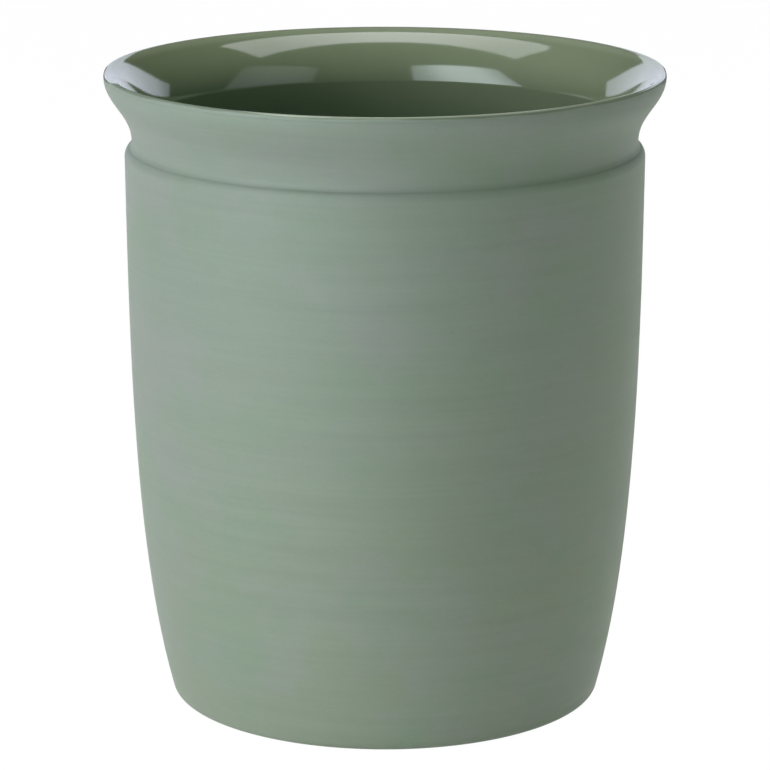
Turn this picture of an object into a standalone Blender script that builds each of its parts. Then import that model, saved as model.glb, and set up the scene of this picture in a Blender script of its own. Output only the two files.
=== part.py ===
"""A stoneware preserving crock: an open, lidless turned pot with a flared lip and a tie groove.

Metres, +Z up, with the origin on the axis in the plane of the foot. The pot is two pieces: the
matte stoneware body, and the coat of glossy glaze that lines it and wraps over its lip. Each is
a profile in the XZ plane, turned about Z. A profile runs from the axis up the inside, over the
lip and down the outside, so the clay always lies to the right of the direction of travel.
"""

import math

import bpy
import numpy as np

# Outside, from the top of the lip down
HEIGHT = 0.1831
SHOULDER_RADIUS = 0.07436
RIM_OVERHANG = 0.00564  # lip past the shoulder
LIP_ROUND = 0.00135  # height of the round outside the lip
LIP_ROUND_WIDTH = 0.0005
FLARE_HEIGHT = 0.0201  # top of the lip to the narrowest of the neck
NECK_DEPTH = 0.00206  # neck inside the shoulder
GROOVE_HEIGHT = 0.0016  # narrowest of the neck to the crease
GROOVE_RETURN = 0.0007  # how far the groove comes back out at the crease
LEDGE_HEIGHT = 0.0026  # crease to shoulder
BELLY_TAPER = 0.01186  # heel inside the shoulder
SHOULDER_SLOPE = math.radians(0.7)  # from the vertical
HEEL_SLOPE = math.radians(14.7)  # from the vertical
LEDGE_SLOPE = math.radians(20.0)  # below the horizontal
HEEL_ROUND = 0.0025

# Underside: a flat ring to stand on, round a shallow recess
FOOT_RING_WIDTH = 0.0085
RECESS_DEPTH = 0.0012
RECESS_ROUND = 0.0012

# Inside, to the glazed surface
WALL = 0.0056
FLOOR = 0.0060
FLOOR_ROUND = 0.0100
MOUTH_DEPTH = 0.0152  # top of the lip to where the mouth meets the straight wall

# Glaze coat
GLAZE = 0.0006
GLAZE_WRAP = 0.0002  # below the widest of the lip
CLEARANCE = 0.0003  # between the glaze and the clay

# How far each curve leaves its end before it bends, as a share of its own height or width
FLARE_PULL_LIP = 0.355
FLARE_PULL_NECK = 0.48
GROOVE_PULL_NECK = 0.5
GROOVE_PULL_CREASE = 0.2
LEDGE_PULL_CREASE = 0.25
LEDGE_PULL_SHOULDER = 0.5
BELLY_PULL_SHOULDER = 0.298
BELLY_PULL_HEEL = 0.29
MOUTH_PULL_LIP = 0.30
MOUTH_PULL_THROAT = 0.265

# Finishes: colour, then roughness
STONEWARE_COLOUR = (0.225, 0.286, 0.210)
STONEWARE_ROUGHNESS = 0.85
GLAZE_COLOUR = (0.150, 0.192, 0.108)
GLAZE_ROUGHNESS = 0.12

# Facets
SAME_POINT = 1e-6  # closer points than this are one
NEAR_ENOUGH = 0.9  # share of an inset's distance that each of its points keeps from the path
TURN_STEPS = 60
FLARE_POINTS = 8
GROOVE_POINTS = 3
LEDGE_POINTS = 5
BELLY_POINTS = 9
MOUTH_POINTS = 10
ROUND_POINTS = 4

# Levels and radii that follow from the sizes above
RIM_RADIUS = SHOULDER_RADIUS + RIM_OVERHANG
LIP_LEVEL = HEIGHT - LIP_ROUND
NECK_RADIUS = SHOULDER_RADIUS - NECK_DEPTH
NECK_LEVEL = HEIGHT - FLARE_HEIGHT
CREASE_LEVEL = NECK_LEVEL - GROOVE_HEIGHT
SHOULDER_LEVEL = CREASE_LEVEL - LEDGE_HEIGHT
HEEL_RADIUS = SHOULDER_RADIUS - BELLY_TAPER
HEEL_LEVEL = HEEL_ROUND * (1 - math.sin(HEEL_SLOPE))
THROAT_RADIUS = SHOULDER_RADIUS - WALL
THROAT_LEVEL = HEIGHT - MOUTH_DEPTH
GLAZE_EDGE_LEVEL = LIP_LEVEL - GLAZE_WRAP

UP = np.array([0.0, 1.0])
IN = np.array([-1.0, 0.0])


def bezier(start, leave, arrive, end, count):
    """Cubic curve through count points, as (radius, height) pairs."""
    t = np.linspace(0.0, 1.0, count)[:, None]
    s = 1.0 - t
    return s**3 * start + 3 * s**2 * t * leave + 3 * s * t**2 * arrive + t**3 * end


def arc(centre, width, height, begin, finish, count):
    """Arc of an upright ellipse of this half width and height, between two angles."""
    angle = np.linspace(begin, finish, count)
    return np.asarray(centre) + np.stack([width * np.cos(angle), height * np.sin(angle)], axis=1)


def joined(*stretches):
    """One path from several, with the points that two of them share kept once."""
    path = np.concatenate(stretches)
    step = np.linalg.norm(np.diff(path, axis=0), axis=1)
    return path[np.concatenate([[True], step > SAME_POINT])]


def inset(path, distance):
    """The path moved into the clay, to the right of its travel, less what ends up too near it."""
    along = np.gradient(path, axis=0)
    along /= np.linalg.norm(along, axis=1, keepdims=True)
    moved = path + distance * np.stack([along[:, 1], -along[:, 0]], axis=1)
    start, run = path[:-1], np.diff(path, axis=0)
    share = ((moved[:, None] - start) * run).sum(axis=2) / (run**2).sum(axis=1)
    nearest = start + np.clip(share, 0.0, 1.0)[..., None] * run
    apart = np.linalg.norm(moved[:, None] - nearest, axis=2).min(axis=1)
    return moved[apart > NEAR_ENOUGH * distance]


def split(path, level):
    """A falling path cut in two at a height, with the cut point in both."""
    radius = np.interp(level, path[::-1, 1], path[::-1, 0])
    cut = np.array([[radius, level]])
    above = path[path[:, 1] > level]
    below = path[path[:, 1] < level]
    return joined(above, cut), joined(cut, below)


def outer_flare():
    """From the widest of the lip down to the narrowest of the neck."""
    lip = np.array([RIM_RADIUS, LIP_LEVEL])
    neck = np.array([NECK_RADIUS, NECK_LEVEL])
    drop = LIP_LEVEL - NECK_LEVEL
    leave = lip - UP * FLARE_PULL_LIP * drop
    arrive = neck + UP * FLARE_PULL_NECK * drop
    return bezier(lip, leave, arrive, neck, FLARE_POINTS)


def groove_and_ledge():
    """From the neck to the crease, and out over the rounded ledge to the shoulder."""
    neck = np.array([NECK_RADIUS, NECK_LEVEL])
    crease = np.array([NECK_RADIUS + GROOVE_RETURN, CREASE_LEVEL])
    shoulder = np.array([SHOULDER_RADIUS, SHOULDER_LEVEL])
    out_and_down = np.array([math.cos(LEDGE_SLOPE), -math.sin(LEDGE_SLOPE)])
    up_the_wall = np.array([math.sin(SHOULDER_SLOPE), math.cos(SHOULDER_SLOPE)])
    groove = bezier(
        neck,
        neck - UP * GROOVE_PULL_NECK * GROOVE_HEIGHT,
        crease + (UP + IN) * GROOVE_PULL_CREASE * GROOVE_RETURN,
        crease,
        GROOVE_POINTS,
    )
    ledge = bezier(
        crease,
        crease + out_and_down * LEDGE_PULL_CREASE * LEDGE_HEIGHT,
        shoulder + up_the_wall * LEDGE_PULL_SHOULDER * LEDGE_HEIGHT,
        shoulder,
        LEDGE_POINTS,
    )
    return joined(groove, ledge)


def belly():
    """From the shoulder down to the top of the heel's round."""
    shoulder = np.array([SHOULDER_RADIUS, SHOULDER_LEVEL])
    heel = np.array([HEEL_RADIUS, HEEL_LEVEL])
    drop = SHOULDER_LEVEL - HEEL_LEVEL
    shoulder_way = np.array([math.sin(SHOULDER_SLOPE), math.cos(SHOULDER_SLOPE)])
    heel_way = np.array([math.sin(HEEL_SLOPE), math.cos(HEEL_SLOPE)])
    leave = shoulder - shoulder_way * BELLY_PULL_SHOULDER * drop
    arrive = heel + heel_way * BELLY_PULL_HEEL * drop
    return bezier(shoulder, leave, arrive, heel, BELLY_POINTS)


def foot():
    """From the heel's round across the foot ring and the recess to the axis."""
    centre = (HEEL_RADIUS - HEEL_ROUND * math.cos(HEEL_SLOPE), HEEL_ROUND)
    heel = arc(centre, HEEL_ROUND, HEEL_ROUND, -HEEL_SLOPE, -math.pi / 2, ROUND_POINTS)
    ring_inner = centre[0] - FOOT_RING_WIDTH
    centre = (ring_inner, RECESS_ROUND)
    recess = arc(centre, RECESS_ROUND, RECESS_ROUND, -math.pi / 2, -math.pi, ROUND_POINTS)
    middle = np.array([[recess[-1, 0], RECESS_DEPTH], [0.0, RECESS_DEPTH]])
    return joined(heel, recess[recess[:, 1] < RECESS_DEPTH], middle)


def inner_wall():
    """The glazed inside, from the middle of the floor up to the throat, WALL inside the belly."""
    wall = inset(belly(), WALL)[::-1]
    start_level = FLOOR + FLOOR_ROUND * (1 - math.sin(HEEL_SLOPE))
    start_radius = np.interp(start_level, wall[:, 1], wall[:, 0])
    centre = (start_radius - FLOOR_ROUND * math.cos(HEEL_SLOPE), FLOOR + FLOOR_ROUND)
    middle = np.array([[0.0, FLOOR]])
    corner = arc(centre, FLOOR_ROUND, FLOOR_ROUND, -math.pi / 2, -HEEL_SLOPE, ROUND_POINTS)
    between = (wall[:, 1] > start_level) & (wall[:, 1] < THROAT_LEVEL)
    throat = np.array([[THROAT_RADIUS, THROAT_LEVEL]])
    return joined(middle, corner, wall[between], throat)


def mouth():
    """From the throat up the flared inside and over the lip to its widest."""
    throat = np.array([THROAT_RADIUS, THROAT_LEVEL])
    top = np.array([RIM_RADIUS - LIP_ROUND_WIDTH, HEIGHT])
    leave = throat + UP * MOUTH_PULL_THROAT * MOUTH_DEPTH
    arrive = top + IN * MOUTH_PULL_LIP * (top[0] - throat[0])
    inside = bezier(throat, leave, arrive, top, MOUTH_POINTS)
    lip = arc((top[0], LIP_LEVEL), LIP_ROUND_WIDTH, LIP_ROUND, math.pi / 2, 0.0, ROUND_POINTS)
    return joined(inside, lip)


def glaze_profile():
    """The glazed surface out to the glaze's edge under the lip, and back along the clay."""
    wrap, _ = split(outer_flare(), GLAZE_EDGE_LEVEL)
    surface = joined(inner_wall(), mouth(), wrap)
    back = inset(surface, GLAZE)[::-1]
    back[-1, 0] = 0.0
    return joined(surface, back)


def body_profile():
    """The clay under the glaze, the bare clay below the glaze's edge, and the underside."""
    covered, bare = split(outer_flare(), GLAZE_EDGE_LEVEL - CLEARANCE)
    under_glaze = inset(joined(inner_wall(), mouth(), covered), GLAZE + CLEARANCE)
    under_glaze[0, 0] = 0.0
    return joined(under_glaze, bare, groove_and_ledge(), belly(), foot())


def material(name, colour, roughness):
    """A plain Principled finish; nothing on the crock is metal."""
    made = bpy.data.materials.new(name)
    made.use_nodes = True
    shader = made.node_tree.nodes["Principled BSDF"]
    shader.inputs["Base Color"].default_value = (*colour, 1.0)
    shader.inputs["Roughness"].default_value = roughness
    shader.inputs["Metallic"].default_value = 0.0
    made.diffuse_color = (*colour, 1.0)
    return made


def turned(name, profile, finish, collection):
    """An object whose mesh is the profile's edges, turned about Z by a Screw modifier."""
    points = [(radius, 0.0, level) for radius, level in profile]
    edges = [(i, i + 1) for i in range(len(points) - 1)]
    mesh = bpy.data.meshes.new(name)
    mesh.from_pydata(points, edges, [])
    mesh.materials.append(finish)
    piece = bpy.data.objects.new(name, mesh)
    collection.objects.link(piece)
    screw = piece.modifiers.new("turned", "SCREW")
    screw.axis = "Z"
    screw.angle = 2 * math.pi
    screw.steps = TURN_STEPS
    screw.render_steps = TURN_STEPS
    screw.use_smooth_shade = True
    screw.use_merge_vertices = True
    screw.merge_threshold = SAME_POINT
    return piece


def main():
    for leftover in list(bpy.data.objects):
        bpy.data.objects.remove(leftover, do_unlink=True)
    crock = bpy.data.collections.new("preserving_crock")
    bpy.context.scene.collection.children.link(crock)
    stoneware = material("sage_stoneware", STONEWARE_COLOUR, STONEWARE_ROUGHNESS)
    glaze = material("olive_glaze", GLAZE_COLOUR, GLAZE_ROUGHNESS)
    turned("crock_body", body_profile(), stoneware, crock)
    turned("glaze_lining", glaze_profile(), glaze, crock)


main()
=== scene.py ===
"""The looks of the stoneware preserving crock: its turned surfaces, finishes, light and camera.

Metres, +Z up, with the origin on the crock's axis in the plane of its foot. Both pieces are closed
profiles turned about Z. A profile runs from the axis up the inside, over the lip and down the
outside, so the clay always lies to the right of the direction of travel.
"""

import math

import bpy
import numpy as np
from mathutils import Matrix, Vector

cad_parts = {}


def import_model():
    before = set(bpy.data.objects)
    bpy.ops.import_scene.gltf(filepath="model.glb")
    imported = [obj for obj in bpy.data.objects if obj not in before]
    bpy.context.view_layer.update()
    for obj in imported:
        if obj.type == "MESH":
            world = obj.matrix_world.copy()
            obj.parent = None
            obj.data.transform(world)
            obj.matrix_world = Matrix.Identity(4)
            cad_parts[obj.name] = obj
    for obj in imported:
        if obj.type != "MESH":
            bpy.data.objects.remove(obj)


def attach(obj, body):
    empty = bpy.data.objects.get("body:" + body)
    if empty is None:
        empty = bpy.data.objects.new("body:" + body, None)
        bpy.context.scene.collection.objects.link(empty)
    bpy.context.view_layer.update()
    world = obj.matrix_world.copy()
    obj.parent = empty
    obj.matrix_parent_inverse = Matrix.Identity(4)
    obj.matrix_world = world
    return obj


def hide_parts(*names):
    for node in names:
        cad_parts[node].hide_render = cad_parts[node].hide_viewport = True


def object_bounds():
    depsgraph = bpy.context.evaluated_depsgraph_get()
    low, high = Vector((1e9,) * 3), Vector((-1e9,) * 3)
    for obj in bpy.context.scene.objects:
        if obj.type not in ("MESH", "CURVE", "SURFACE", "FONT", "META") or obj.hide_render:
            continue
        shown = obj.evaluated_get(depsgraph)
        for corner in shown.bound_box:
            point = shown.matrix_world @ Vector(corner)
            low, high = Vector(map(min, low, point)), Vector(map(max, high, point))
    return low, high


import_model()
cad_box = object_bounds()

# The crock's sizes, outside from the lip down
HEIGHT = cad_box[1].z
RIM_RADIUS = cad_box[1].x
RIM_OVERHANG = 0.00564
SHOULDER_RADIUS = RIM_RADIUS - RIM_OVERHANG
LIP_ROUND = 0.00135
LIP_ROUND_WIDTH = 0.00050
FLARE_HEIGHT = 0.0201
NECK_DEPTH = 0.00206
GROOVE_HEIGHT = 0.0016
GROOVE_RETURN = 0.0007
LEDGE_HEIGHT = 0.0026
BELLY_TAPER = 0.01186
SHOULDER_SLOPE = math.radians(0.7)
HEEL_SLOPE = math.radians(14.7)
LEDGE_SLOPE = math.radians(20.0)
HEEL_ROUND = 0.0025
FOOT_RING_WIDTH = 0.0085
RECESS_DEPTH = 0.0012
RECESS_ROUND = 0.0012

# Inside
WALL = 0.0056
FLOOR = 0.0060
FLOOR_ROUND = 0.0100
MOUTH_DEPTH = 0.0152
GLAZE = 0.0006
GLAZE_WRAP = 0.0002  # below the widest of the lip
GLAZE_TAPER = 0.0030  # length over which the coat thins to its edge
GLAZE_EDGE = 0.00004  # thickness left at the edge
GLAZE_SEAT = 0.00002  # between the coat and the clay under it

# How far each curve leaves its end before it bends, as a share of its own height or width
FLARE_PULL_LIP = 0.355
FLARE_PULL_NECK = 0.48
GROOVE_PULL_NECK = 0.5
GROOVE_PULL_CREASE = 0.2
LEDGE_PULL_CREASE = 0.25
LEDGE_PULL_SHOULDER = 0.5
BELLY_PULL_SHOULDER = 0.298
BELLY_PULL_HEEL = 0.29
MOUTH_PULL_LIP = 0.30
MOUTH_PULL_THROAT = 0.265

# Levels and radii that follow from the sizes
LIP_LEVEL = HEIGHT - LIP_ROUND
NECK_RADIUS = SHOULDER_RADIUS - NECK_DEPTH
NECK_LEVEL = HEIGHT - FLARE_HEIGHT
CREASE_LEVEL = NECK_LEVEL - GROOVE_HEIGHT
SHOULDER_LEVEL = CREASE_LEVEL - LEDGE_HEIGHT
HEEL_RADIUS = SHOULDER_RADIUS - BELLY_TAPER
HEEL_LEVEL = HEEL_ROUND * (1 - math.sin(HEEL_SLOPE))
THROAT_RADIUS = SHOULDER_RADIUS - WALL
THROAT_LEVEL = HEIGHT - MOUTH_DEPTH
GLAZE_EDGE_LEVEL = LIP_LEVEL - GLAZE_WRAP

# The hand of the thrower: ridges left on the bare outside, and the slow waver of the whole pot
RIDGE_DEPTH = 0.000008
RIDGE_PITCH = 0.0052
WAVER = 0.000018
WAVER_PITCH = 0.0260
WAVES = (  # how many go round, their twist, where they start and their share of the waver
    (7, 0.31, 0.0, 1.0),
    (12, -0.57, 1.3, 0.7),
    (19, 0.83, 4.0, 0.5),
)

# Mesh density: steps round the crock, and points on each stretch of a profile
TURN_STEPS = 248
FLARE_POINTS = 56
GROOVE_POINTS = 12
LEDGE_POINTS = 20
BELLY_POINTS = 124
HEEL_POINTS = 12
RECESS_POINTS = 8
FLOOR_POINTS = 12
CORNER_POINTS = 14
WALL_POINTS = 64
STRAIGHT_POINTS = 6
MOUTH_POINTS = 64
LIP_POINTS = 16
SAME_POINT = 1e-7
NEAR_ENOUGH = 0.9  # share of an inset's distance that each of its points keeps from the path

UP = np.array([0.0, 1.0])
IN = np.array([-1.0, 0.0])


def bezier(start, leave, arrive, end, count):
    """Cubic curve, as (radius, height) pairs: four points weighted by the cubic Bernstein terms."""
    t = np.linspace(0.0, 1.0, count)[:, None]
    s = 1.0 - t
    return s**3 * start + 3 * s**2 * t * leave + 3 * s * t**2 * arrive + t**3 * end


def arc(centre, width, height, begin, finish, count):
    """Arc of an upright ellipse: its centre plus the half width and half height times the cosine
    and sine of an evenly stepped angle."""
    angle = np.linspace(begin, finish, count)
    return np.asarray(centre) + np.stack([width * np.cos(angle), height * np.sin(angle)], axis=1)


def joined(*stretches):
    """One path from several, with the points that two of them share kept once."""
    path = np.concatenate(stretches)
    step = np.linalg.norm(np.diff(path, axis=0), axis=1)
    return path[np.concatenate([[True], step > SAME_POINT])]


def length_along(path):
    """Distance travelled at each point of a path: the running sum of its steps."""
    return np.concatenate([[0.0], np.cumsum(np.linalg.norm(np.diff(path, axis=0), axis=1))])


def inset(path, distance):
    """The path moved by distance, one or one per point, to the right of its travel.

    A moved point that ends up nearer to the path than that, where a tight round folds, is left out.
    """
    along = np.gradient(path, axis=0)
    along /= np.linalg.norm(along, axis=1, keepdims=True)
    moved = path + np.reshape(distance, (-1, 1)) * np.stack([along[:, 1], -along[:, 0]], axis=1)
    start, run = path[:-1], np.diff(path, axis=0)
    share = ((moved[:, None] - start) * run).sum(axis=2) / (run**2).sum(axis=1)
    nearest = start + np.clip(share, 0.0, 1.0)[..., None] * run
    apart = np.linalg.norm(moved[:, None] - nearest, axis=2).min(axis=1)
    return moved[apart > NEAR_ENOUGH * distance]


def split(path, level):
    """A falling path cut in two at a height, with the cut point in both."""
    cut = np.array([[np.interp(level, path[::-1, 1], path[::-1, 0]), level]])
    return joined(path[path[:, 1] > level], cut), joined(cut, path[path[:, 1] < level])


def outer_flare():
    """From the widest of the lip down to the narrowest of the neck."""
    lip = np.array([RIM_RADIUS, LIP_LEVEL])
    neck = np.array([NECK_RADIUS, NECK_LEVEL])
    drop = LIP_LEVEL - NECK_LEVEL
    leave = lip - UP * FLARE_PULL_LIP * drop
    arrive = neck + UP * FLARE_PULL_NECK * drop
    return bezier(lip, leave, arrive, neck, FLARE_POINTS)


def groove_and_ledge():
    """From the neck to the crease, and out over the rounded ledge to the shoulder."""
    neck = np.array([NECK_RADIUS, NECK_LEVEL])
    crease = np.array([NECK_RADIUS + GROOVE_RETURN, CREASE_LEVEL])
    shoulder = np.array([SHOULDER_RADIUS, SHOULDER_LEVEL])
    out_and_down = np.array([math.cos(LEDGE_SLOPE), -math.sin(LEDGE_SLOPE)])
    up_the_wall = np.array([math.sin(SHOULDER_SLOPE), math.cos(SHOULDER_SLOPE)])
    groove = bezier(
        neck,
        neck - UP * GROOVE_PULL_NECK * GROOVE_HEIGHT,
        crease + (UP + IN) * GROOVE_PULL_CREASE * GROOVE_RETURN,
        crease,
        GROOVE_POINTS,
    )
    ledge = bezier(
        crease,
        crease + out_and_down * LEDGE_PULL_CREASE * LEDGE_HEIGHT,
        shoulder + up_the_wall * LEDGE_PULL_SHOULDER * LEDGE_HEIGHT,
        shoulder,
        LEDGE_POINTS,
    )
    return joined(groove, ledge)


def belly(count=BELLY_POINTS):
    """From the shoulder down to the top of the heel's round."""
    shoulder = np.array([SHOULDER_RADIUS, SHOULDER_LEVEL])
    heel = np.array([HEEL_RADIUS, HEEL_LEVEL])
    drop = SHOULDER_LEVEL - HEEL_LEVEL
    shoulder_way = np.array([math.sin(SHOULDER_SLOPE), math.cos(SHOULDER_SLOPE)])
    heel_way = np.array([math.sin(HEEL_SLOPE), math.cos(HEEL_SLOPE)])
    leave = shoulder - shoulder_way * BELLY_PULL_SHOULDER * drop
    arrive = heel + heel_way * BELLY_PULL_HEEL * drop
    return bezier(shoulder, leave, arrive, heel, count)


def foot():
    """From the heel's round across the foot ring and the recess to the axis."""
    centre = (HEEL_RADIUS - HEEL_ROUND * math.cos(HEEL_SLOPE), HEEL_ROUND)
    heel = arc(centre, HEEL_ROUND, HEEL_ROUND, -HEEL_SLOPE, -math.pi / 2, HEEL_POINTS)
    centre = (centre[0] - FOOT_RING_WIDTH, RECESS_ROUND)
    recess = arc(centre, RECESS_ROUND, RECESS_ROUND, -math.pi / 2, -math.pi, RECESS_POINTS)
    middle = np.array([[recess[-1, 0], RECESS_DEPTH], [0.0, RECESS_DEPTH]])
    return joined(heel, recess[recess[:, 1] < RECESS_DEPTH], middle)


def inner_wall():
    """The glazed inside, from the middle of the floor up to the throat, WALL inside the belly."""
    wall = inset(belly(WALL_POINTS), WALL)[::-1]
    start_level = FLOOR + FLOOR_ROUND * (1 - math.sin(HEEL_SLOPE))
    start_radius = np.interp(start_level, wall[:, 1], wall[:, 0])
    centre = (start_radius - FLOOR_ROUND * math.cos(HEEL_SLOPE), FLOOR + FLOOR_ROUND)
    flat = np.linspace([0.0, FLOOR], [centre[0], FLOOR], FLOOR_POINTS)
    corner = arc(centre, FLOOR_ROUND, FLOOR_ROUND, -math.pi / 2, -HEEL_SLOPE, CORNER_POINTS)
    straight = np.linspace(wall[-1], [THROAT_RADIUS, THROAT_LEVEL], STRAIGHT_POINTS)
    return joined(flat, corner, wall[wall[:, 1] > start_level], straight)


def mouth():
    """From the throat up the flared inside and over the lip to its widest."""
    throat = np.array([THROAT_RADIUS, THROAT_LEVEL])
    top = np.array([RIM_RADIUS - LIP_ROUND_WIDTH, HEIGHT])
    leave = throat + UP * MOUTH_PULL_THROAT * MOUTH_DEPTH
    arrive = top + IN * MOUTH_PULL_LIP * (top[0] - throat[0])
    inside = bezier(throat, leave, arrive, top, MOUTH_POINTS)
    lip = arc((top[0], LIP_LEVEL), LIP_ROUND_WIDTH, LIP_ROUND, math.pi / 2, 0.0, LIP_POINTS)
    return joined(inside, lip)


def glazed_surface():
    """Everything the glaze covers: floor, wall, mouth and lip, down to the coat's edge outside."""
    wrap, _ = split(outer_flare(), GLAZE_EDGE_LEVEL)
    return joined(inner_wall(), mouth(), wrap)


def coat_depth(surface):
    """Thickness of the glaze: full, then down to its edge in a smooth step over its taper."""
    left = length_along(surface)[-1] - length_along(surface)
    t = np.clip(left / GLAZE_TAPER, 0.0, 1.0)
    return GLAZE_EDGE + (GLAZE - GLAZE_EDGE) * t * t * (3 - 2 * t)


def waver(angle, level):
    """The pot is slightly out of true: a sum of sine waves round it that twist with the height."""
    climb = 2 * math.pi * level / WAVER_PITCH
    wave = 0.0
    for turns, twist, start, share in WAVES:
        wave = wave + share * np.sin(turns * angle + twist * climb + start)
    return WAVER * wave / sum(each[-1] for each in WAVES) - WAVER


def turned_mesh(name, profile, ridged):
    """A closed profile turned about Z: radius and level along the profile, by the angle round.

    The points lie at (r cos a, r sin a, z). The radius r is the profile's, plus the pot's waver,
    plus, where ridged is 1, a shallow cosine ridge that rises by one pitch a turn. The profile
    starts and ends on the axis, so each end is one pole.
    """
    angle = np.linspace(0.0, 2 * math.pi, TURN_STEPS, endpoint=False)[:, None]
    ring = profile[1:-1]
    level = np.broadcast_to(ring[None, :, 1], (TURN_STEPS, len(ring)))
    ridge = np.cos(2 * math.pi * level / RIDGE_PITCH - angle) - 1.0
    radius = ring[None, :, 0] + waver(angle, level) + RIDGE_DEPTH * ridged[None, 1:-1] * ridge
    grid = np.stack([radius * np.cos(angle), radius * np.sin(angle), level], axis=-1)
    poles = np.array([[0.0, 0.0, profile[0, 1]], [0.0, 0.0, profile[-1, 1]]])
    count = len(ring)
    index = np.arange(TURN_STEPS * count).reshape(TURN_STEPS, count)
    following = np.roll(index, -1, axis=0)
    quads = np.stack([index[:, :-1], index[:, 1:], following[:, 1:], following[:, :-1]], axis=-1)
    first, last = TURN_STEPS * count, TURN_STEPS * count + 1
    start = np.stack([np.full(TURN_STEPS, first), index[:, 0], following[:, 0]], axis=-1)
    finish = np.stack([index[:, -1], np.full(TURN_STEPS, last), following[:, -1]], axis=-1)
    faces = quads.reshape(-1, 4).tolist() + start.tolist() + finish.tolist()
    mesh = bpy.data.meshes.new(name)
    mesh.from_pydata(np.concatenate([grid.reshape(-1, 3), poles]).tolist(), [], faces)
    mesh.shade_smooth()
    return mesh


def shown(name, mesh, finish, node):
    """The object that carries a mesh, in place of the CAD node that it stands for."""
    mesh.materials.append(finish)
    piece = bpy.data.objects.new(name, mesh)
    bpy.context.scene.collection.objects.link(piece)
    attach(piece, "root")
    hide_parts(node)
    return piece


def clay_body():
    """The stoneware: the clay under the coat, the bare outside and the underside."""
    surface = glazed_surface()
    under = inset(surface, coat_depth(surface) + GLAZE_SEAT)
    under[0, 0] = 0.0
    _, bare = split(outer_flare(), GLAZE_EDGE_LEVEL - GLAZE_SEAT)
    hidden = len(under)
    profile = joined(under, bare, groove_and_ledge(), belly(), foot())
    outside = (np.arange(len(profile)) > hidden) & (profile[:, 1] > HEEL_ROUND)
    mesh = turned_mesh("stoneware_pot", profile, outside.astype(float))
    shown("stoneware_pot", mesh, stoneware(), "crock_body")


def glaze_coat():
    """The glaze: its bright surface out to the edge, and back along the clay."""
    surface = glazed_surface()
    back = inset(surface, coat_depth(surface))[::-1]
    back[-1, 0] = 0.0
    profile = joined(surface, back)
    mesh = turned_mesh("glaze_coat", profile, np.zeros(len(profile)))
    shown("glaze_coat", mesh, glaze(), "glaze_lining")


# Finishes. Colours are linear, as Blender's sockets take them.
# The clay's sage, with painted light: cooler and bluer at the top, warmer and yellower at the foot
CLAY_TOP_COOL_LIGHT = (0.225, 0.286, 0.209)
CLAY_FOOT_WARM_LIGHT = (0.230, 0.286, 0.194)
CLAY_GREY = (0.248, 0.288, 0.232)
CLAY_GREEN = (0.208, 0.290, 0.190)
CLAY_STAIN = (0.140, 0.182, 0.118)
# The stain with painted shade, for the lip's far left and right ends
CLAY_STAIN_AND_SHADE_END = (0.045, 0.060, 0.042)
SPECK_DARK = (0.150, 0.200, 0.150)
SPECK_PALE = (0.300, 0.370, 0.310)
GLAZE_CREST = (0.290, 0.345, 0.215)
GLAZE_LIP = (0.215, 0.270, 0.153)
GLAZE_MOUTH = (0.150, 0.192, 0.108)
GLAZE_THROAT = (0.097, 0.147, 0.078)
GLAZE_DEEP = (0.049, 0.090, 0.048)

# The clay's noises: features for a metre, how much flatter than wide they are, and their detail
STREAKS = {"per_metre": 20.0, "flatten": 14.0, "detail": 3.0}
LINES = {"per_metre": 16.0, "flatten": 70.0, "detail": 2.0}
CLOUDS = {"per_metre": 24.0, "flatten": 1.5, "detail": 5.0, "roughness": 0.6}
MOSS = {"per_metre": 30.0, "flatten": 1.3, "detail": 5.0, "roughness": 0.6}
GRAIN = {"per_metre": 1400.0, "detail": 1.0}
TOOTH = {"per_metre": 420.0, "detail": 3.0}

# Where a noise turns the clay greyer or greener: from, to, the share at from and the share at to
CLOUDED = (0.42, 0.66, 0.0, 0.80)
MOSSY = (0.46, 0.68, 0.0, 0.70)

# One speck lies in each cell, and its number from 0 to 1 says whether it shows, as above
SPECKS_PER_METRE = 170.0
SPECK_RADIUS = 0.00035
PALE_SPECKS = (0.70, 0.72, 0.0, 0.30)
DARK_SPECKS = (0.30, 0.28, 0.0, 0.32)

# How far each noise moves the clay's tone and roughness either way, and the height of its relief
STREAK_TONE = 0.080
LINE_TONE = 0.035
GRAIN_TONE = 0.035
CLAY_ROUGHNESS = 0.56
STREAK_ROUGHNESS = 0.10
LINE_RELIEF = 0.000020
GRAIN_RELIEF = 0.000012
TOOTH_RELIEF = 0.000018

# The glaze's gloss ends on the lip's outer round, on its crest in front at the left, and a little
# sooner at the lip's far ends. A dry olive stain runs on below it, to a depth under the top of the
# lip.
GLOSS_END = 0.0004  # below the top of the lip
GLOSS_EDGE = 0.0001  # half the width of its soft edge, and of its waver
GLOSS_WAVES = 70.0  # features for a metre
GLOSS_SHORT = 0.0017  # how far in from there it ends in front at the left
GLOSS_SHORTENS = (-0.030, -0.060)  # x
GLOSS_LENGTHENS = (-0.037, -0.020)  # y
GLOSS_SHORT_ENDS = (0.0786, 0.0798, 0.0, 0.0006)  # off the middle, where it ends that much sooner
STAIN_DEPTH = 0.0008
STAIN_TILT = 0.0030  # change of depth for a metre to the right
STAIN_EDGE = 0.0002  # half the width of its soft edge
STAIN_WAVER = 0.0007
STAIN_WAVES = 45.0  # features for a metre
# Painted shade: towards the lip's far left and right ends the stain darkens and runs deeper
STAIN_AND_SHADE_ENDS = (0.0762, 0.0797)  # off the middle, where it darkens and grows deeper
STAIN_AND_SHADE_DEEPER = 0.0009  # by how much, there

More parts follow.
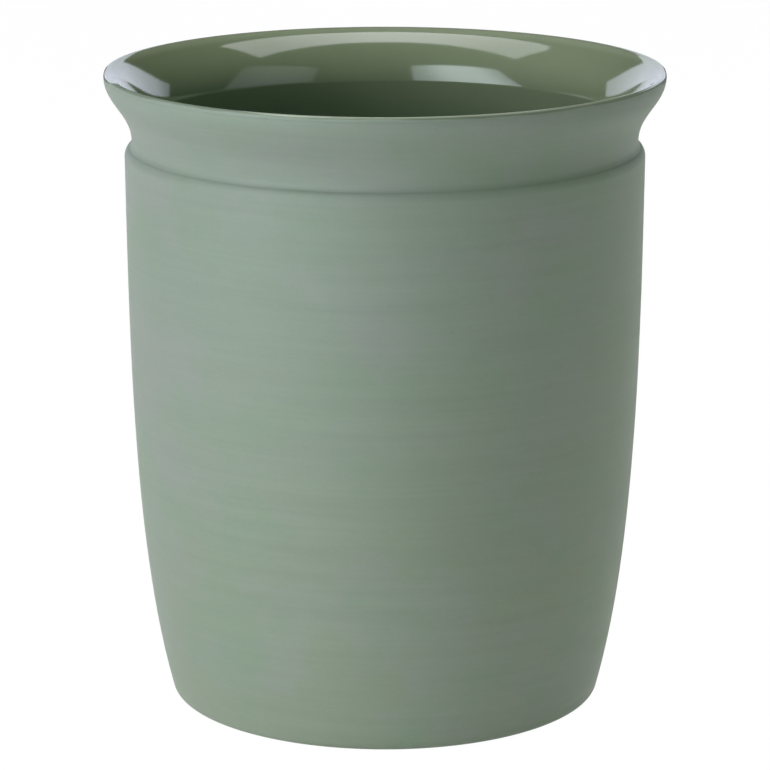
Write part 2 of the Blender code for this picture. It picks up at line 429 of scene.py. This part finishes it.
# Heights between which the glaze turns from one colour to the next, from its pool up to its crest
TO_THROAT = (0.120, 0.160)
TO_MOUTH = (0.156, 0.169)
TO_LIP = (0.168, 0.181)
TO_CREST = (HEIGHT - 0.0022, HEIGHT - 0.0004)
DRIFT = 0.0012  # how far these heights wander
# Painted shade on the left of the inside and painted light on its right: these tilts move the
# glaze's colour heights
PAINTED_LIGHT_RIGHT_TILT = 0.10  # how much lower the dark of the glaze ends for a metre to the right
PAINTED_SHADE_LEFT_TILT = 0.20  # how much higher it ends for a metre to the left of the middle
PAINTED_PALE_RIGHT_TILT = 0.07  # how much lower its pale lip starts for a metre to the right of the middle

# The glaze's noises, as the clay's, and how far each moves its tone or roughness either way
POOLING = {"per_metre": 30.0, "flatten": 0.6}
MOTTLE = {"per_metre": 90.0, "detail": 3.0}
MOTTLE_TONE = 0.06
PEPPER = {"per_metre": 900.0}
PEPPER_TONE = 0.02
HAZE = {"per_metre": 120.0}
HAZE_ROUGHNESS = 0.025
PEEL = {"per_metre": 260.0, "detail": 1.0}
PEEL_RELIEF = 0.000006
GLAZE_IOR = 1.52
GLAZE_ROUGHNESS = 0.09
GLAZE_COAT_ROUGHNESS = 0.07


class Wiring:
    """A node tree being wired: each call adds one node and returns what it gives."""

    def __init__(self, tree):
        self.tree = tree

    def feed(self, socket, value):
        if isinstance(value, bpy.types.NodeSocket):
            self.tree.links.new(value, socket)
        else:
            socket.default_value = value

    def sum(self, operation, *values):
        made = self.tree.nodes.new("ShaderNodeMath")
        made.operation = operation
        for socket, value in zip(made.inputs, values):
            self.feed(socket, value)
        return made.outputs[0]

    def ease(self, value, start, end, low=0.0, high=1.0):
        """Smooth step of a value from low at start to high at end."""
        made = self.tree.nodes.new("ShaderNodeMapRange")
        made.interpolation_type = "SMOOTHSTEP"
        names = ("Value", "From Min", "From Max", "To Min", "To Max")
        for name, number in zip(names, (value, start, end, low, high)):
            self.feed(made.inputs[name], number)
        return made.outputs["Result"]

    def shine(self, kind, colour, strength=None):
        """A surface or backdrop of one colour: kind is the name of its node."""
        made = self.tree.nodes.new(kind)
        made.inputs["Color"].default_value = (*colour, 1.0)
        if strength is not None:
            self.feed(made.inputs["Strength"], strength)
        return made.outputs[0]

    def blend(self, share, first, second):
        """Two surfaces mixed: all of the first at 0, and all of the second at 1."""
        made = self.tree.nodes.new("ShaderNodeMixShader")
        for socket, value in zip(made.inputs, (share, first, second)):
            self.feed(socket, value)
        return made.outputs["Shader"]

    def seen_by(self, *kinds):
        """1 for the named kinds of ray, and 0 for the others."""
        path = self.tree.nodes.new("ShaderNodeLightPath")
        share = path.outputs[kinds[0]]
        for kind in kinds[1:]:
            share = self.sum("MAXIMUM", share, path.outputs[kind])
        return share


class Finish(Wiring):
    """A surface's material, which reads places in the crock's own frame."""

    def __init__(self, name):
        self.material = bpy.data.materials.new(name)
        self.material.use_nodes = True
        super().__init__(self.material.node_tree)
        self.place = self.tree.nodes.new("ShaderNodeTexCoord").outputs["Object"]
        apart = self.tree.nodes.new("ShaderNodeSeparateXYZ")
        self.tree.links.new(self.place, apart.inputs[0])
        self.across = apart.outputs["X"]
        self.back = apart.outputs["Y"]
        self.level = apart.outputs["Z"]
        flat = self.tree.nodes.new("ShaderNodeCombineXYZ")
        self.tree.links.new(apart.outputs["X"], flat.inputs["X"])
        self.tree.links.new(apart.outputs["Y"], flat.inputs["Y"])
        length = self.tree.nodes.new("ShaderNodeVectorMath")
        length.operation = "LENGTH"
        self.tree.links.new(flat.outputs[0], length.inputs[0])
        self.radius = length.outputs["Value"]

    def wear(self, values):
        """Each value or link goes to the shader's socket of that name."""
        shader = self.tree.nodes["Principled BSDF"]
        for name, value in values.items():
            self.feed(shader.inputs[name], value)

    def noise(self, per_metre, flatten=1.0, detail=2.0, roughness=0.5):
        """Cloudy noise of so many features a metre, thinner in height by the factor flatten."""
        made = self.tree.nodes.new("ShaderNodeTexNoise")
        made.inputs["Scale"].default_value = per_metre
        made.inputs["Detail"].default_value = detail
        made.inputs["Roughness"].default_value = roughness
        stretch = self.tree.nodes.new("ShaderNodeMapping")
        stretch.inputs["Scale"].default_value = (1.0, 1.0, flatten)
        self.tree.links.new(self.place, stretch.inputs["Vector"])
        self.tree.links.new(stretch.outputs[0], made.inputs["Vector"])
        return made.outputs["Fac"]

    def swing(self, noise, amount):
        """A noise turned into a small change about zero."""
        return self.sum("MULTIPLY_ADD", noise, 2 * amount, -amount)

    def mix(self, share, first, second):
        made = self.tree.nodes.new("ShaderNodeMix")
        made.data_type = "RGBA"
        self.feed(made.inputs["Factor"], share)
        for name, colour in (("A", first), ("B", second)):
            socket = [s for s in made.inputs if s.name == name and s.type == "RGBA"][0]
            self.feed(socket, (*colour, 1.0) if isinstance(colour, tuple) else colour)
        return [s for s in made.outputs if s.type == "RGBA"][0]

    def scaled(self, colour, factor):
        made = self.tree.nodes.new("ShaderNodeVectorMath")
        made.operation = "SCALE"
        self.feed(made.inputs[0], colour)
        self.feed(made.inputs["Scale"], factor)
        return made.outputs["Vector"]

    def specks(self, per_metre, radius):
        """Round specks, one in each cell: how much of one is here, and a number that is its own."""
        made = self.tree.nodes.new("ShaderNodeTexVoronoi")
        made.inputs["Scale"].default_value = per_metre
        self.tree.links.new(self.place, made.inputs["Vector"])
        apart = self.tree.nodes.new("ShaderNodeSeparateColor")
        self.tree.links.new(made.outputs["Color"], apart.inputs[0])
        here = self.ease(made.outputs["Distance"], radius * per_metre, 0.5 * radius * per_metre)
        return here, apart.outputs[0]

    def bump(self, height, depth, under=None):
        """Relief of so many metres for a height of one, on top of another relief."""
        made = self.tree.nodes.new("ShaderNodeBump")
        made.inputs["Distance"].default_value = depth
        self.feed(made.inputs["Height"], height)
        if under is not None:
            self.tree.links.new(under, made.inputs["Normal"])
        return made.outputs["Normal"]


def stained_and_shaded(finish, colour):
    """A colour under the dry stain that the glaze leaves below the lip's gloss. Painted shade makes
    it darker and deeper at the lip's far left and right ends.
    """
    below = finish.sum("SUBTRACT", HEIGHT, finish.level)
    below = finish.sum("ADD", below, finish.swing(finish.noise(STAIN_WAVES), STAIN_WAVER))
    # Painted shade at the lip's far left and right ends
    at_end = finish.ease(finish.sum("ABSOLUTE", finish.across), *STAIN_AND_SHADE_ENDS)
    depth = finish.sum("MULTIPLY_ADD", finish.across, STAIN_TILT, STAIN_DEPTH)
    depth = finish.sum("MULTIPLY_ADD", at_end, STAIN_AND_SHADE_DEEPER, depth)
    past = finish.sum("SUBTRACT", below, depth)
    # Stain, turning to painted shade at the far ends
    stain_and_shade = finish.mix(at_end, CLAY_STAIN, CLAY_STAIN_AND_SHADE_END)
    return finish.mix(finish.ease(past, STAIN_EDGE, -STAIN_EDGE), colour, stain_and_shade)


def dry_edge(coat):
    """1 where the glaze has lost its gloss on the outside of the lip, and 0 where it shines."""
    short = coat.ease(coat.across, *GLOSS_SHORTENS, 0.0, GLOSS_SHORT)
    short = coat.sum("MULTIPLY", short, coat.ease(coat.back, *GLOSS_LENGTHENS, 1.0, 0.0))
    at_end = coat.ease(coat.sum("ABSOLUTE", coat.across), *GLOSS_SHORT_ENDS)
    short = coat.sum("MAXIMUM", short, at_end)
    outward = coat.sum("ADD", coat.radius, short)
    outside = coat.ease(outward, RIM_RADIUS - 2 * LIP_ROUND_WIDTH, RIM_RADIUS - LIP_ROUND_WIDTH)
    below = coat.sum("SUBTRACT", HEIGHT - GLOSS_END, coat.level)
    below = coat.sum("ADD", below, short)
    below = coat.sum("ADD", below, coat.swing(coat.noise(GLOSS_WAVES), GLOSS_EDGE))
    return coat.sum("MULTIPLY", outside, coat.ease(below, -GLOSS_EDGE, GLOSS_EDGE))


def stoneware():
    """Bare fired clay: clouded sage, faint turning streaks, fine specks, and a satin tooth."""
    clay = Finish("sage_stoneware")
    streak = clay.noise(**STREAKS)
    line = clay.noise(**LINES)
    grain = clay.noise(**GRAIN)
    # Painted light: bluer towards the top and yellower towards the foot
    colour = clay.mix(clay.ease(clay.level, 0.0, SHOULDER_LEVEL), CLAY_FOOT_WARM_LIGHT, CLAY_TOP_COOL_LIGHT)
    colour = clay.mix(clay.ease(clay.noise(**CLOUDS), *CLOUDED), colour, CLAY_GREY)
    colour = clay.mix(clay.ease(clay.noise(**MOSS), *MOSSY), colour, CLAY_GREEN)

    here, kind = clay.specks(SPECKS_PER_METRE, SPECK_RADIUS)
    pale = clay.sum("MULTIPLY", here, clay.ease(kind, *PALE_SPECKS))
    dark = clay.sum("MULTIPLY", here, clay.ease(kind, *DARK_SPECKS))
    colour = clay.mix(dark, clay.mix(pale, colour, SPECK_PALE), SPECK_DARK)
    colour = stained_and_shaded(clay, colour)

    tone = clay.sum("ADD", clay.swing(streak, STREAK_TONE), clay.swing(line, LINE_TONE))
    tone = clay.sum("ADD", tone, clay.swing(grain, GRAIN_TONE))
    relief = clay.bump(line, LINE_RELIEF)
    relief = clay.bump(grain, GRAIN_RELIEF, relief)
    relief = clay.bump(clay.noise(**TOOTH), TOOTH_RELIEF, relief)
    clay.wear(
        {
            "Base Color": clay.scaled(colour, clay.sum("ADD", tone, 1.0)),
            "Roughness": clay.sum("ADD", CLAY_ROUGHNESS, clay.swing(streak, STREAK_ROUGHNESS)),
            "Normal": relief,
        }
    )
    return clay.material


def glaze():
    """Glossy olive glaze: paler where it thins over the lip, darker where it lies deeper down. Its
    dark reaches higher on the left of the inside, which is painted shade. Its dark and its pale lip
    reach lower on the right, which is painted light.
    """
    coat = Finish("olive_glaze")
    level = coat.sum("ADD", coat.level, coat.swing(coat.noise(**POOLING), DRIFT))
    # Painted shade and light: the colour heights move up on the left and down on the right
    to_right = coat.sum("MAXIMUM", coat.across, 0.0)
    to_left = coat.sum("MINIMUM", coat.across, 0.0)
    shaded_level = coat.sum("MULTIPLY_ADD", to_right, PAINTED_LIGHT_RIGHT_TILT, level)
    shaded_level = coat.sum("MULTIPLY_ADD", to_left, PAINTED_SHADE_LEFT_TILT, shaded_level)
    lit_level = coat.sum("MULTIPLY_ADD", to_right, PAINTED_PALE_RIGHT_TILT, level)
    colour = coat.mix(coat.ease(shaded_level, *TO_THROAT), GLAZE_DEEP, GLAZE_THROAT)
    colour = coat.mix(coat.ease(shaded_level, *TO_MOUTH), colour, GLAZE_MOUTH)
    colour = coat.mix(coat.ease(lit_level, *TO_LIP), colour, GLAZE_LIP)
    colour = coat.mix(coat.ease(coat.level, *TO_CREST), colour, GLAZE_CREST)

    dry = dry_edge(coat)
    colour = coat.mix(dry, colour, stained_and_shaded(coat, CLAY_TOP_COOL_LIGHT))
    mottle = coat.swing(coat.noise(**MOTTLE), MOTTLE_TONE)
    mottle = coat.sum("ADD", mottle, coat.swing(coat.noise(**PEPPER), PEPPER_TONE))
    haze = coat.swing(coat.noise(**HAZE), HAZE_ROUGHNESS)
    relief = coat.bump(coat.noise(**PEEL), PEEL_RELIEF)
    rough = coat.ease(dry, 0.0, 1.0, GLAZE_ROUGHNESS, CLAY_ROUGHNESS)
    coat.wear(
        {
            "Base Color": coat.scaled(colour, coat.sum("ADD", mottle, 1.0)),
            "Roughness": coat.sum("ADD", haze, rough),
            "Coat Weight": coat.sum("SUBTRACT", 1.0, dry),
            "IOR": GLAZE_IOR,
            "Coat IOR": GLAZE_IOR,
            "Coat Roughness": GLAZE_COAT_ROUGHNESS,
            "Normal": relief,
            "Coat Normal": relief,
        }
    )
    return coat.material


# Camera, as the photograph was taken
CAMERA_DISTANCE = 1.100
CAMERA_TILT = math.radians(14.0415)
AIM_HEIGHT = 0.09035
LENS = 177.05
SENSOR = 36.0
CLIP = (0.05, 50.0)


def camera():
    """Looks along +Y and down, at a point on the axis."""
    data = bpy.data.cameras.new("camera")
    data.lens = LENS
    data.sensor_width = SENSOR
    data.clip_start, data.clip_end = CLIP
    made = bpy.data.objects.new("camera", data)
    bpy.context.scene.collection.objects.link(made)
    back = -CAMERA_DISTANCE * math.cos(CAMERA_TILT)
    made.location = (0.0, back, AIM_HEIGHT + CAMERA_DISTANCE * math.sin(CAMERA_TILT))
    made.rotation_euler = (math.pi / 2 - CAMERA_TILT, 0.0, 0.0)
    bpy.context.scene.camera = made


# Windows that stand on the floor round the crock. Only gloss shows them. Each has its azimuth from
# the camera's side towards +X, its two sides' angles off that at the foot and at the head, the
# elevation at its middle distance that gives the height of either side, radiance, colour, and how
# it fades across: where that starts and ends, and the share left.
WINDOWS = {
    "left_window": (
        (-41.3, (-34.3, 27.7), (-23.6, 26.3), (41.4, 48.2)),
        (3.38, (0.86, 1.00, 1.04), (0.20, 1.00, 0.42)),
    ),
    "right_window": (
        (61.2, (-25.5, 27.5), (-23.2, 22.5), (44.9, 41.7)),
        (0.50, (0.90, 0.97, 1.06), (0.30, 1.00, 0.70)),
    ),
}
WINDOW_AWAY = 1.30
WINDOW_POINTS = 17
WINDOW_SHIFT = 0.06  # how far its brightest part lies to one side
WINDOW_SOFT_TOP = (0.965, 0.40)  # share of its height where it starts to fade, and the share left
PAST_EDGE = 1.0001  # just past the end of a sheet, where a fade there ends

# Lamps that light the crock, which gloss doesn't show: azimuth, half spread, the top's elevation,
# distance, radiance and colour
FILLS = (
    ("left_key", -41.3, 28.0, 43.5, 1.30, 2.42, (0.925, 1.00, 1.01)),
    ("left_side", -68.5, 18.5, 40.0, 1.30, 1.75, (1.20, 1.00, 1.50)),
    ("right_side", 105.0, 23.0, 38.0, 1.35, 1.38, (0.945, 1.00, 0.925)),
)

# The panel overhead. Each long edge has the x of its ends, its y on the axis, and how far it bows
# back for a metre squared to either side. The far corners are cut off from some way out, ever more
# steeply.
PANEL_ABOVE = 1.0  # over the crock's lip
PANEL_POINTS = 33
PANEL_NEAR = (-0.94, 0.885, -0.31, 0.20)
PANEL_FAR = (-0.86, 0.75, 0.08, 0.59)
PANEL_CORNER = (0.66, 6.0)
PANEL_RADIANCE = 3.1
PANEL_FADE = (0.00, 0.85, 0.58)
PANEL_TINT = (0.99, 1.00, 1.03)

# The backdrop, as far as gloss shows it: its top, the higher top of its middle, and its half width
# to the right and left for a metre's distance behind the crock
BACKDROP_TOP = math.radians(18.7)
BACKDROP_RAISED = math.radians(24.5)
BACKDROP_RAISED_TO = (0.25, 0.32, 0.03)  # how far off its middle, and how far that lies to the left
BACKDROP_SIDES = (1.28, 1.09)
BACKDROP_DIMMED = (0.32, 0.60)  # how far in from its right end it is dimmer, and the share left
BACKDROP_MIDDLE = (0.12, 0.36, 0.78)  # dimmer in the middle: from where, to where, and the share
BACKDROP_TINT = (0.94, 1.00, 1.15)
BACKDROP_RADIANCE = 1.00
BACKDROP_EDGE = 0.02  # half the width of its soft sides
BACKDROP_TOP_EDGE = 0.008
LOW_LIGHT = 0.01
WHITE = (1.0, 1.0, 1.0)

FLOOR_REACH = 3.0
FLOOR_SUNK = 0.0001  # under the foot, so that the two don't flicker
FLOOR_GREY = (0.92, 0.92, 0.92)
FLOOR_GLOW = 1.02
FLOOR_WHITE = 0.97  # how much of its glow the camera and gloss see


def softbox(name, centre, aim, width, height, radiance, colour):
    """A rectangular lamp of even brightness that faces a point. Camera and gloss don't see it."""
    data = bpy.data.lights.new(name, "AREA")
    data.shape = "RECTANGLE"
    data.size = width
    data.size_y = height
    data.energy = radiance * math.pi * width * height
    data.color = colour
    made = bpy.data.objects.new(name, data)
    bpy.context.scene.collection.objects.link(made)
    made.location = centre
    made.rotation_mode = "QUATERNION"
    made.rotation_quaternion = (Vector(aim) - Vector(centre)).to_track_quat("-Z", "Y")
    made.visible_camera = False
    made.visible_glossy = False


def one_sided(wire, front):
    """Ends a material with a surface that is clear from behind."""
    behind = wire.tree.nodes.new("ShaderNodeNewGeometry").outputs["Backfacing"]
    whole = wire.blend(behind, front, wire.shine("ShaderNodeBsdfTransparent", WHITE))
    wire.feed(wire.tree.nodes.new("ShaderNodeOutputMaterial").inputs["Surface"], whole)


def glowing_sheet(name, first, second, radiance, tint, fade, shift=0.0, soft_edge=(1.0, 1.0)):
    """A sheet between two rows of points, bright on one side and clear from the other.

    Across it runs a number from -1 to 1, and up it one from 0 on the first row to 1 on the second.
    The brightness is a smooth step of the distance from the middle, times one of the height.
    """
    count = len(first)
    step = np.arange(count - 1)
    faces = np.stack([step, step + count, step + count + 1, step + 1], axis=1)
    mesh = bpy.data.meshes.new(name)
    mesh.from_pydata(np.concatenate([first, second]).tolist(), [], faces.tolist())
    across = np.tile(np.linspace(-1.0, 1.0, count), 2)
    up = np.repeat([0.0, 1.0], count)
    for place, numbers in (("across", across), ("up", up)):
        written = mesh.attributes.new(place, "FLOAT", "POINT")
        written.data.foreach_set("value", numbers.astype(np.float32))
    made = bpy.data.objects.new(name, mesh)
    bpy.context.scene.collection.objects.link(made)
    made.visible_camera = False
    made.visible_shadow = False

    finish = bpy.data.materials.new(name)
    finish.use_nodes = True
    wire = Wiring(finish.node_tree)
    nodes = wire.tree.nodes
    nodes.clear()

    def place(called):
        read = nodes.new("ShaderNodeAttribute")
        read.attribute_name = called
        return read.outputs["Fac"]

    off_middle = wire.sum("ABSOLUTE", wire.sum("ADD", place("across"), shift))
    share = wire.ease(off_middle, fade[0], fade[1], 1.0, fade[2])
    lower = wire.ease(place("up"), soft_edge[0], PAST_EDGE, 1.0, soft_edge[1])
    share = wire.sum("MULTIPLY", share, lower)
    glow = wire.shine("ShaderNodeEmission", tint, wire.sum("MULTIPLY", share, radiance))
    one_sided(wire, glow)
    mesh.materials.append(finish)
    return made


def overhead_panel():
    """The panel overhead: x runs evenly along each long edge, and y is a parabola in it."""
    edges = []
    for (start, end, on_axis, bow), cut in ((PANEL_NEAR, 0.0), (PANEL_FAR, PANEL_CORNER[1])):
        x = np.linspace(start, end, PANEL_POINTS)
        y = on_axis + bow * x**2 - cut * np.maximum(0.0, np.abs(x) - PANEL_CORNER[0]) ** 2
        edges.append(np.stack([x, y, np.full(len(x), HEIGHT + PANEL_ABOVE)], axis=1))
    glowing_sheet("overhead_panel", *edges, PANEL_RADIANCE, PANEL_TINT, PANEL_FADE)


def facing(azimuth, away):
    """A point on the floor at an azimuth and a distance, and the way along the floor beside it."""
    turn = math.radians(azimuth)
    beside = np.array([math.cos(turn), math.sin(turn), 0.0])
    return away * np.array([math.sin(turn), -math.cos(turn), 0.0]), beside


def window(name, place, light):
    """A standing sheet: both rows run evenly from side to side, and so does the top's height."""
    azimuth, foot_sides, head_sides, tops = place
    radiance, colour, fade = light
    middle, beside = facing(azimuth, WINDOW_AWAY)
    rows = []
    for sides in (foot_sides, head_sides):
        start, end = np.tan(np.radians(sides))
        rows.append(middle + WINDOW_AWAY * np.linspace(start, end, WINDOW_POINTS)[:, None] * beside)
    start, end = np.tan(np.radians(tops))
    rows[1][:, 2] = HEIGHT + WINDOW_AWAY * np.linspace(start, end, WINDOW_POINTS)
    sheet = glowing_sheet(name, *rows, radiance, colour, fade, WINDOW_SHIFT, WINDOW_SOFT_TOP)
    sheet.visible_diffuse = False


def lights():
    """The panel overhead, a window on either side of the camera, and lamps round the sides."""
    overhead_panel()
    for name, (place, light) in WINDOWS.items():
        window(name, place, light)
    for name, azimuth, spread, top, away, radiance, colour in FILLS:
        foot, _ = facing(azimuth, away)
        wide = 2 * away * math.tan(math.radians(spread))
        tall = HEIGHT + away * math.tan(math.radians(top))
        aim = np.array([0.0, 0.0, tall / 2])
        softbox(name, foot + aim, aim, wide, tall, radiance, colour)


def world():
    """White to the camera. Gloss sees the backdrop: pale behind the crock, up to its top edge."""
    made = bpy.data.worlds.new("studio")
    made.use_nodes = True
    wire = Wiring(made.node_tree)
    nodes = wire.tree.nodes
    nodes.clear()
    way = nodes.new("ShaderNodeSeparateXYZ")
    wire.feed(way.inputs[0], nodes.new("ShaderNodeTexCoord").outputs["Generated"])
    across, back, up = way.outputs

    to_right_end = wire.sum("SUBTRACT", wire.sum("MULTIPLY", back, BACKDROP_SIDES[0]), across)
    to_left_end = wire.sum("MULTIPLY_ADD", back, BACKDROP_SIDES[1], across)
    to_end = wire.sum("MINIMUM", to_right_end, to_left_end)
    behind = wire.ease(to_end, -BACKDROP_EDGE, BACKDROP_EDGE)
    start, end, left = BACKDROP_RAISED_TO
    off_middle = wire.sum("ABSOLUTE", wire.sum("ADD", across, left))
    top = wire.ease(off_middle, start, end, math.sin(BACKDROP_RAISED), math.sin(BACKDROP_TOP))
    below_top = wire.ease(wire.sum("SUBTRACT", up, top), BACKDROP_TOP_EDGE, -BACKDROP_TOP_EDGE)
    in_gloss = wire.seen_by("Is Glossy Ray", "Is Transmission Ray")
    here = wire.sum("MULTIPLY", wire.sum("MULTIPLY", behind, below_top), in_gloss)

    bright = wire.ease(to_right_end, 0.0, BACKDROP_DIMMED[0], BACKDROP_DIMMED[1], 1.0)
    start, end, share = BACKDROP_MIDDLE
    middle = wire.ease(wire.sum("ABSOLUTE", across), start, end, share, 1.0)
    backdrop = wire.sum("MULTIPLY", here, wire.sum("MULTIPLY", bright, middle))
    low = wire.shine("ShaderNodeBackground", WHITE, LOW_LIGHT)
    pale = wire.shine("ShaderNodeBackground", BACKDROP_TINT, BACKDROP_RADIANCE)
    white = wire.shine("ShaderNodeBackground", WHITE, 1.0)
    whole = wire.blend(wire.seen_by("Is Camera Ray"), wire.blend(backdrop, low, pale), white)
    wire.feed(nodes.new("ShaderNodeOutputWorld").inputs["Surface"], whole)
    bpy.context.scene.world = made


def floor():
    """A white floor that keeps the crock's shadow, and can't be seen from below."""
    corners = FLOOR_REACH * np.array([[-1, -1, 0], [1, -1, 0], [1, 1, 0], [-1, 1, 0]])
    mesh = bpy.data.meshes.new("floor")
    mesh.from_pydata(corners.tolist(), [], [(0, 1, 2, 3)])
    made = bpy.data.objects.new("floor", mesh)
    made.location = (0.0, 0.0, -FLOOR_SUNK)
    bpy.context.scene.collection.objects.link(made)
    finish = bpy.data.materials.new("floor")
    finish.use_nodes = True
    wire = Wiring(finish.node_tree)
    wire.tree.nodes.clear()
    grey = wire.shine("ShaderNodeBsdfDiffuse", FLOOR_GREY)
    white = wire.shine("ShaderNodeEmission", WHITE, FLOOR_GLOW)
    seen = wire.seen_by("Is Camera Ray", "Is Glossy Ray", "Is Transmission Ray")
    one_sided(wire, wire.blend(wire.sum("MULTIPLY", seen, FLOOR_WHITE), grey, white))
    mesh.materials.append(finish)


def main():
    camera()
    clay_body()
    glaze_coat()
    floor()
    lights()
    world()
    bpy.context.scene.view_settings.view_transform = "Standard"


main()
